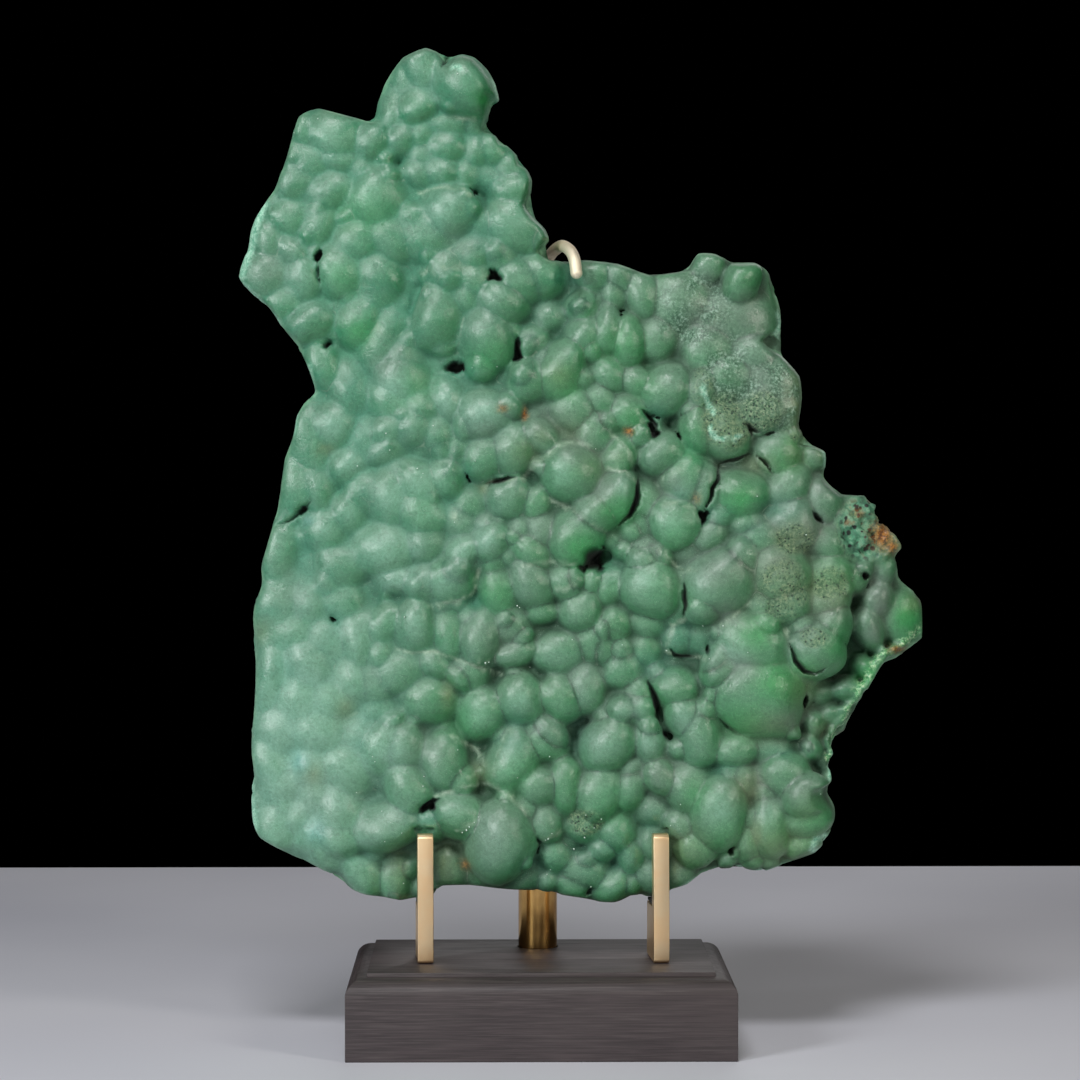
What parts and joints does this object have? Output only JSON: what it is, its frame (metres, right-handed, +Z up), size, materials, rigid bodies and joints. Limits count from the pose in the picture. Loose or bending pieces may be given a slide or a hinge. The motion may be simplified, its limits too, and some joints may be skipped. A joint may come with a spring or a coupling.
{
  "type": "malachite specimen",
  "caption": "Upright slab of bubbly green malachite standing on a dark moulded wooden base, held by two brass feet and a brass rod that hooks over its top edge.",
  "frame": {"origin": "centre of the wooden base's flat underside", "axes": "+Z up, -Y out of the display face towards the viewer, +X to the viewer's right"},
  "size_m": [0.2749, 0.1016, 0.398],
  "materials": {
    "malachite": "velvety satin, botryoidal crust",
    "dark_wood": "satin, ebonised, fine straight grain",
    "brass": "polished",
    "felt": "matt liner"
  },
  "bodies": {
    "root": {"malachite": "malachite", "base": "dark_wood", "post": "brass", "spine_rod": "brass", "bracket_left": "brass", "bracket_right": "brass", "pad_left": "felt", "pad_right": "felt"}
  },
  "joints": []
}
